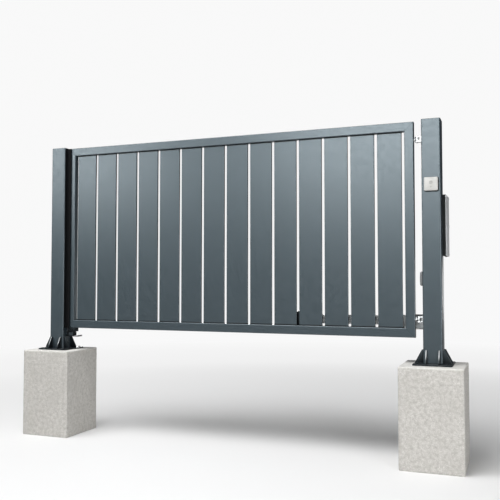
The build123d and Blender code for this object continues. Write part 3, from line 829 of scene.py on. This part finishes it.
for level in ("upper", "lower"):
    pin_low, pin_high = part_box(f"{level}_hinge_pin")
    low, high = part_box(f"{level}_hinge_bracket")
    centre = Vector(((pin_low.x + pin_high.x) / 2, 0, (low.z + high.z) / 2 - 0.003))
    plug = put(screw_head(0.0045, 0.0018), facing(centre + (EYE_RADIUS - 0.0006) * PLUG_TURN, PLUG_TURN))
    dress(plug, f"{level}_grease_plug", "leaf", "black_plastic")
    runs = [weld((high.x - 0.001, low.y, z), (high.x - 0.001, high.y, z), 0.0036) for z in (low.z, high.z)]
    runs += [weld((high.x, y, low.z), (high.x, y, high.z), 0.0022) for y in (low.y, high.y)]
    dress(joined(*runs), f"{level}_hinge_welds", "root", "post_paint", bracket_coat)

# %% [markdown]
# ## The reader
# A small off-white reader is fixed to the front of the hinge post. A black plate behind it shows
# below it and on its right only: this is painted shadow, the shadow that the reader casts. The reader
# has a slightly raised face, a round pad to hold a key against, and a lamp below the pad. These are
# only a few pixels wide in the picture, but they tell what the square is.

# %% Reader face, pad, lamp and painted shadow plate
low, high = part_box("access_reader")
middle = (low + high) / 2
# The plate reaches 5.5 mm past the right edge and 6.2 mm below: painted shadow.
shadow_low = (low.x - 0.0008, high.y - 0.0045, low.z - 0.0062)
shadow_high = (high.x + 0.0055, high.y, high.z + 0.0008)
painted_shadow_plate = rim(shadow_low, shadow_high, 1, 0.011, 0.012, 0.0006)
dress(painted_shadow_plate, "reader_painted_shadow_plate", "root", "black_plastic")

BORDER = 0.0055
face_low = (low.x + BORDER, low.y - 0.0010, low.z + BORDER)
face_high = (high.x - BORDER, low.y + 0.002, high.z - BORDER)
dress(panel(face_low, face_high, 1, 0.005, 0.0004), "reader_face", "root", "white_plastic")

PAD_RADIUS = 0.0115
PAD_HEIGHT = 0.0011
pad_plastic = moulded_plastic("pad_plastic", (0.36, 0.355, 0.34), (0.32, 0.315, 0.30), (0.5, 0.6))
pad = turned([(PAD_RADIUS, 0), (PAD_RADIUS, 0.0006), (0.93 * PAD_RADIUS, PAD_HEIGHT)], sides=40)
sink(pad, PAD_HEIGHT, 0.0022, 0.0008)
put(pad, facing((middle.x, face_low[1], middle.z + 0.008), (0, -1, 0)))
dress(pad, "reader_pad", "root", "grey_plastic", pad_plastic)

lamp = turned([(0.0034, 0), (0.0034, 0.0008), (0.0026, 0.0016), (0.0012, 0.0019)])
put(lamp, facing((middle.x, face_low[1], middle.z - 0.019), (0, -1, 0)))
dress(lamp, "reader_lamp", "root", "grey_plastic", pad_plastic)

# %% [markdown]
# ## The control box
# The drive's control unit hangs on the outer side of the post. A rubber seal shows as a dark line
# between base and cover, four screws and a lock hold the cover, and the two cable holes in
# its underside are closed by plugs.

# %% Control box seal, screws, lock and plugs
SEAL = Vector((0.0008, 0.0007, 0.0007))
FROM_CORNER = 0.013

low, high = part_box("control_box_base")
cover_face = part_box("control_box_cover")[1].x
seal = rim(Vector((high.x, low.y, low.z)) - SEAL, high + SEAL, 0, 0.0065, 0.005)
dress(seal, "box_seal", "root", "black_plastic")

across = (low.y + FROM_CORNER, high.y - FROM_CORNER)
upward = (low.z + FROM_CORNER, high.z - FROM_CORNER)
places = [facing((cover_face, y, z), (1, 0, 0)) for y in across for z in upward]
dress(copies(screw_head(0.0048, 0.0026), places), "box_screws", "root", "zinc_steel")
lock = put(key_disc(0.010, 0.0035), facing((cover_face, high.y - 0.030, (low.z + high.z) / 2), (1, 0, 0)))
dress(lock, "box_lock", "root", "zinc_steel")
places = [facing(((low.x + high.x) / 2, high.y - back, low.z), (0, 0, -1)) for back in (0.045, 0.090)]
dress(copies(screw_head(0.0075, 0.0030), places), "box_plugs", "root", "black_plastic")

# %% [markdown]
# ## The photocell
# The photocell looks across the gateway. Its dark window faces the other post, and a groove shows
# where the hood snaps on to its base.

# %% Photocell window and groove
lens_plastic = moulded_plastic(
    "lens_plastic", (0.016, 0.011, 0.012), (0.011, 0.008, 0.009), (0.10, 0.18), 300, 0.00002
)
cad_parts["photocell"].material_slots[0].material = hood_plastic
low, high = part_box("photocell")
window_low = (low.x - 0.0010, low.y + 0.012, low.z + 0.018)
window_high = (low.x + 0.003, high.y - 0.012, high.z - 0.018)
window = panel(window_low, window_high, 0, 0.010, 0.0008)
dress(window, "photocell_window", "root", "black_plastic", lens_plastic)
groove_low = (high.x - 0.0046, low.y - 0.0004, low.z - 0.0004)
groove_high = (high.x - 0.0034, high.y + 0.0004, high.z + 0.0004)
dress(rim(groove_low, groove_high, 0, 0.0144, 0.003), "photocell_groove", "root", "black_plastic")

# %% [markdown]
# ## The drive
# A motor housing on the hinge post drives a screw inside an aluminium profile, and a carriage on the
# profile pushes the leaf. The ram lies at a slant, so its small pieces are drawn in a frame
# of their own, with X along the ram from the rear pin, and then put in place by one matrix.

# %% The ram's own frame
rear_low, rear_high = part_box("actuator_rear_pin")
front_low, front_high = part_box("actuator_front_pin")
profile_low, profile_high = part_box("actuator_profile")
rear, front = (rear_low + rear_high) / 2, (front_low + front_high) / 2
axis_height = (profile_low.z + profile_high.z) / 2
along = Vector((front.x - rear.x, front.y - rear.y, 0))
ram_length = along.length
slant = Matrix.Rotation(math.atan2(along.y, along.x), 4, "Z")
ram = Matrix.Translation((rear.x, rear.y, axis_height)) @ slant
half_profile = (profile_high.z - profile_low.z) / 2
print(f"ram {ram_length:.4f} m long at {axis_height:.3f} m")

# %% Housing hatch, lock, screws, seam, nose and gland
def gland(flats):
    """A plugged cable gland: a hexagon flange and a rounded plug."""
    flange = hexagon(flats, 0.35 * flats)
    rings = [(0.42, 0.30), (0.44, 0.70), (0.36, 0.85), (0.18, 0.92)]
    return joined(flange, turned([(radius * flats, height * flats) for radius, height in rings]))


housing_low, housing_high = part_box("actuator_housing")
lid = housing_high.z - axis_height
sole = housing_low.z - axis_height
HOUSING_END = 0.210
HOUSING_HALF = 0.037
PROFILE_HALF = 0.022
HATCH_ENDS = (0.066, 0.146)
HATCH_HALF = 0.021
HATCH_PROUD = 0.005
SEAM_ENDS = (0.1595, 0.1607)
SEAM_PROUD = 0.0004

hatch_low = (HATCH_ENDS[0], -HATCH_HALF, lid - 0.004)
hatch_high = (HATCH_ENDS[1], HATCH_HALF, lid + HATCH_PROUD)
hatch = panel(hatch_low, hatch_high, 2, 0.010, 0.0020)
dress(put(hatch, ram), "housing_hatch", "actuator", "black_plastic")
cylinder = put(key_disc(0.0085, 0.003), ram @ facing((0.128, 0, lid + HATCH_PROUD)))
dress(cylinder, "housing_lock", "actuator", "zinc_steel")
spots = [(x, y) for x in (0.056, 0.194) for y in (-0.020, 0.020)]
screws = copies(screw_head(0.0040, 0.0022), [ram @ facing((x, y, lid)) for x, y in spots])
dress(screws, "housing_screws", "actuator", "zinc_steel")
seam_low = (SEAM_ENDS[0], -HOUSING_HALF - SEAM_PROUD, sole - SEAM_PROUD)
seam_high = (SEAM_ENDS[1], HOUSING_HALF + SEAM_PROUD, lid + SEAM_PROUD)
dress(put(rim(seam_low, seam_high, 0, 0.0124, 0.003), ram), "housing_seam", "actuator", "black_plastic")
COLLAR = Vector((0.005, PROFILE_HALF + 0.004, half_profile + 0.004))
nose_middle = Vector((HOUSING_END + 0.002, 0, 0))
nose = rim(nose_middle - COLLAR, nose_middle + COLLAR, 0, 0.011, 0.0044, 0.0012)
dress(put(nose, ram), "housing_nose", "actuator", "black_plastic")
plug = put(gland(0.0150), ram @ facing((0.150, 0, sole), (0, 0, -1)))
dress(plug, "housing_gland", "actuator", "black_plastic")

# %% Profile slot and end cap
slot_end = ram_length + 0.050
slot = block((HOUSING_END, -0.005, half_profile - 0.001), (slot_end, 0.005, half_profile + 0.0002))
dress(put(soften(slot, 0.00015, 1), ram), "profile_slot", "actuator", "black_plastic")
eased("actuator_end_cap", 0.0015, "profile_cap", "actuator", "black_plastic")
cap_face = ram_length + 0.062
spots = [(y, z) for y in (-0.013, 0.013) for z in (-0.015, 0.015)]
screws = copies(screw_head(0.0032, 0.0018), [ram @ facing((cap_face, y, z), (1, 0, 0)) for y, z in spots])
dress(screws, "profile_cap_screws", "actuator", "zinc_steel")

# %% [markdown]
# ## The drive's brackets
# Both brackets are bent and welded plate, bolted on with four hexagon bolts each. The carriage slides
# on plastic wipers and is greased through a nipple. Their edges are eased like those of the
# other plate work, and the pins get a chamfered head.

# %% Brackets, pins and bolts
BOLT = 0.013
BRACKET_PLATE = 0.008
PLATE_EASE = 0.0014
PIN_EASE = 0.0016


def bolt_row(name, body, spots, direction, flats=BOLT, slot_name="zinc_steel"):
    """Hexagon bolts at several spots, all pointing the same way."""
    bolts = copies(bolt_head(flats), [facing(spot, direction) for spot in spots])
    return dress(bolts, name, body, slot_name)


eased("actuator_rear_bracket", PLATE_EASE, "rear_bracket_plate", "root", "bracket_paint")
low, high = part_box("actuator_rear_bracket")
plate = low.y + BRACKET_PLATE
spots = [(x, plate, z) for x in (low.x + 0.010, high.x - 0.010) for z in (low.z + 0.010, high.z - 0.010)]
bolt_row("rear_bracket_bolts", "root", spots, (0, 1, 0), 0.010)
eased("actuator_rear_pin", PIN_EASE, "rear_pin_turned", "root", "zinc_steel")

eased("actuator_front_bracket", PLATE_EASE, "front_bracket_plate", "leaf", "bracket_paint")
low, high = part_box("actuator_front_bracket")
plate = low.y + BRACKET_PLATE
spots = [(x, plate, z) for x in (low.x + 0.014, high.x - 0.014) for z in (low.z + 0.012, low.z + 0.037)]
bolt_row("front_bracket_bolts", "leaf", spots, (0, 1, 0))
eased("actuator_front_pin", PIN_EASE, "front_pin_turned", "leaf", "zinc_steel")

# %% Carriage, wipers and grease nipple
WIPER = 0.0014
SLEEVE_HALF = 0.045

eased("actuator_carriage", PLATE_EASE, "carriage_sleeve", "carriage", "bracket_paint")
sleeve_side = PROFILE_HALF + 0.0055
wiper_low = (ram_length - SLEEVE_HALF - WIPER, -PROFILE_HALF - 0.0042, -half_profile - 0.0042)
wiper_high = (ram_length - SLEEVE_HALF, PROFILE_HALF + 0.0042, half_profile + 0.0042)
wiper = rim(wiper_low, wiper_high, 0, 0.011, 0.0038, 0.0004)
pair = copies(wiper, [ram, ram @ Matrix.Translation((2 * SLEEVE_HALF + WIPER, 0, 0))])
dress(pair, "carriage_wipers", "carriage", "black_plastic")
rings = [(0.0045, 0), (0.0045, 0.002), (0.0028, 0.0026), (0.0028, 0.005), (0.0034, 0.006), (0.0018, 0.008)]
nipple = put(turned(rings), ram @ facing((ram_length, -sleeve_side, 0), (0, -1, 0)))
dress(nipple, "carriage_nipple", "carriage", "zinc_steel")

# %% [markdown]
# ## The lock
# A drop bolt lock sits under the leaf, and its keeper stands on the latch post: a block to rest on
# and a shelf whose lip stops the leaf. The case has a key disc and screws in front. The keeper
# has a rubber pad on top, four cast ribs and two bolts in front, and a worn tread on its shelf.

# %% Lock case and keeper
eased("lock_case", 0.0016, "lock_case_eased", "leaf", "bracket_paint")
low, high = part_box("lock_case")
middle = (low + high) / 2
key = put(key_disc(0.0085, 0.0022), facing((middle.x, low.y, middle.z), (0, -1, 0)))
dress(key, "lock_key_disc", "leaf", "bracket_paint")
spots = [(x, low.y, middle.z) for x in (low.x + 0.010, high.x - 0.010)]
screws = copies(screw_head(0.0036, 0.0020), [facing(spot, (0, -1, 0)) for spot in spots])
dress(screws, "lock_screws", "leaf", "bracket_paint")

eased("lock_keeper", PLATE_EASE, "keeper_eased", "root", "bracket_paint")

# %% Keeper pad, ribs, bolts and tread
KEEPER_BLOCK = (0.066, 0.044)
SHELF = 0.006
PAD_THICKNESS = 0.0025
LIP_HEIGHT = 0.011
TREAD = 0.0005
RIBS_ALONG = (0.006, 0.030, 0.042, 0.054)

low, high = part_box("lock_keeper")
block_front = -KEEPER_BLOCK[1] / 2
pad_low = (low.x + 0.004, block_front + 0.002, high.z - 0.0005)
pad_high = (low.x + KEEPER_BLOCK[0] - 0.002, -block_front - 0.002, high.z + PAD_THICKNESS)
dress(panel(pad_low, pad_high, 2, 0.004, 0.0008), "keeper_pad", "root", "black_plastic")
rib = soften(block((-0.002, -0.0016, 0), (0.002, 0.001, high.z - low.z - SHELF - 0.006)), 0.0008, 2)
places = [Matrix.Translation((low.x + x, block_front, low.z + SHELF + 0.003)) for x in RIBS_ALONG]
dress(copies(rib, places), "keeper_ribs", "root", "bracket_paint", post_coat)
spots = [(low.x + 0.018, block_front, low.z + z) for z in (0.013, 0.025)]
bolt_row("keeper_bolts", "root", spots, (0, -1, 0), 0.007, "bracket_paint")
strip_low = (low.x + KEEPER_BLOCK[0] + 0.001, low.y - TREAD, low.z + 0.001)
strip = block(strip_low, (high.x - SHELF, high.y + TREAD, low.z + SHELF + TREAD))
lip_low = (high.x - SHELF - TREAD, low.y - TREAD, low.z + 0.001)
lip = block(lip_low, (high.x + TREAD, high.y + TREAD, low.z + LIP_HEIGHT + TREAD))
tread = joined(soften(strip, 0.0003, 1), soften(lip, 0.0003, 1))
dress(tread, "keeper_tread", "root", "bracket_paint", grey_primer)

# %% [markdown]
# ## The studio
# The floor is a wide pale disc. Near the gate it is an ordinary matt floor that takes the soft
# shadows. Further out it fades into the same white as the world behind it, so that no
# horizon shows. Only the camera sees that white at full strength. Mirrored rays see a dim room:
# cool grey in front of the gate, which gives the coat its blue, and darker behind it, so that
# faces turned away from the lamps stay dark and the edges of the gate stand out. The light
# that the world itself throws on the gate is weak.


# %% The white backdrop
BACKDROP = (0.945, 0.945, 0.945)
ROOM_IN_FRONT = (0.25, 0.40, 0.475)
ROOM_BEHIND = (0.06, 0.07, 0.075)
MIRRORED_FLOOR = 0.15
AMBIENT = 0.20


class Room(Finish):
    """The world's node tree, with the same helpers as a finish."""

    def __init__(self, name):
        self.world = bpy.data.worlds.new(name)
        self.world.use_nodes = True
        self.nodes = self.world.node_tree.nodes
        self.links = self.world.node_tree.links
        self.shader = self.nodes["Background"]
        self.place = self.nodes.new("ShaderNodeTexCoord").outputs["Generated"]


room = Room("studio_room")
bpy.context.scene.world = room.world
ray = room.nodes.new("ShaderNodeLightPath").outputs
in_front = room.spread(room.parts(room.place)["Y"], 0.15, -0.45)
mirrored = room.blend(in_front, ROOM_BEHIND, ROOM_IN_FRONT)
room.links.new(room.blend(ray["Is Glossy Ray"], BACKDROP, mirrored), room.shader.inputs["Color"])
seen = room.calculate("MAXIMUM", ray["Is Camera Ray"], ray["Is Glossy Ray"])
room.links.new(room.calculate("MAXIMUM", seen, AMBIENT), room.shader.inputs["Strength"])
print("backdrop", BACKDROP[0], "ambient", AMBIENT)

# %% The floor
FLOOR_RADIUS = 30.0
SHADOW_CENTRE = (0.8, 0, 0)
SHADOW_REACH = (1.3, 5.4, 8.8)
DEEP_SHADOW = 0.86
PALE_GREY = (0.81, 0.81, 0.81, 1)

bpy.ops.object.select_all(action="DESELECT")
bpy.ops.mesh.primitive_circle_add(vertices=96, radius=FLOOR_RADIUS, fill_type="NGON")
floor = bpy.context.object
floor.name = "studio_floor"

matt_floor = Finish("studio_floor", Base_Color=PALE_GREY, Roughness=0.9, Specular_IOR_Level=0.1)
nodes, links = matt_floor.nodes, matt_floor.links
reach = nodes.new("ShaderNodeVectorMath")
reach.operation = "DISTANCE"
links.new(matt_floor.place, reach.inputs[0])
reach.inputs[1].default_value = SHADOW_CENTRE
ray = nodes.new("ShaderNodeLightPath").outputs
mirrored = matt_floor.calculate("MULTIPLY", ray["Is Glossy Ray"], MIRRORED_FLOOR)
seen = matt_floor.calculate("MAXIMUM", ray["Is Camera Ray"], mirrored)
near = matt_floor.spread(reach.outputs["Value"], *SHADOW_REACH[:2], 0, DEEP_SHADOW)
outer = matt_floor.spread(reach.outputs["Value"], *SHADOW_REACH[1:], 0, 1 - DEEP_SHADOW)
far = matt_floor.calculate("ADD", near, outer)
white = nodes.new("ShaderNodeEmission")
white.inputs["Color"].default_value = (*BACKDROP, 1)
mix = nodes.new("ShaderNodeMixShader")
links.new(matt_floor.calculate("MULTIPLY", far, seen), mix.inputs["Fac"])
links.new(matt_floor.shader.outputs["BSDF"], mix.inputs[1])
links.new(white.outputs["Emission"], mix.inputs[2])
links.new(mix.outputs["Shader"], nodes["Material Output"].inputs["Surface"])
floor.data.materials.append(matt_floor.material)
print("floor radius", FLOOR_RADIUS, "m, shadows fade out between", SHADOW_REACH, "m")

# %% [markdown]
# ## The lamps
# A large soft box hangs above and in front of the gate and makes the shadows on the floor. A low
# fill on the right brightens the sides that are turned from it. Two wide cards stand behind the
# camera and two behind the gate, and they only show in mirrored rays. Those in front stand high,
# so the satin coat is bright in the upper half of the leaf and darker towards the ground. The low
# one behind is mirrored at a glancing angle by the right-hand sides of the posts and the leaf.


# %% Lamps
def soft_box(name, place, target, width, height, power, mirrored_only=False):
    """A rectangular lamp at a place, turned to face a target."""
    lamp = bpy.data.lights.new(name, "AREA")
    lamp.shape = "RECTANGLE"
    lamp.size = width
    lamp.size_y = height
    lamp.energy = power
    holder = bpy.data.objects.new(name, lamp)
    bpy.context.scene.collection.objects.link(holder)
    holder.location = place
    holder.rotation_euler = (Vector(target) - Vector(place)).to_track_quat("-Z", "Y").to_euler()
    holder.visible_diffuse = not mirrored_only
    return holder


soft_box("overhead_box", (-1.5, -2.9, 6.8), (0, 0.2, 0.4), 6.4, 3.4, 585)
soft_box("right_fill_box", (4.8, -4.6, 1.3), (0.2, 0, 0.5), 2.4, 1.6, 165)
soft_box("left_gloss_card", (-5.0, -5.2, 3.45), (-1.0, 0, 1.7), 2.9, 1.5, 150, mirrored_only=True)
soft_box("right_gloss_card", (0.28, -5.8, 3.52), (0.6, 0, 1.7), 3.7, 1.7, 222, mirrored_only=True)
soft_box("back_gloss_card", (-3.2, 6.0, 2.8), (-0.6, 0, 1.5), 4.4, 1.8, 330, mirrored_only=True)
soft_box("low_back_card", (2.3, 6.0, 1.02), (1.4, 0, 1.02), 2.0, 0.80, 11, mirrored_only=True)

bpy.context.scene.view_settings.view_transform = "Standard"
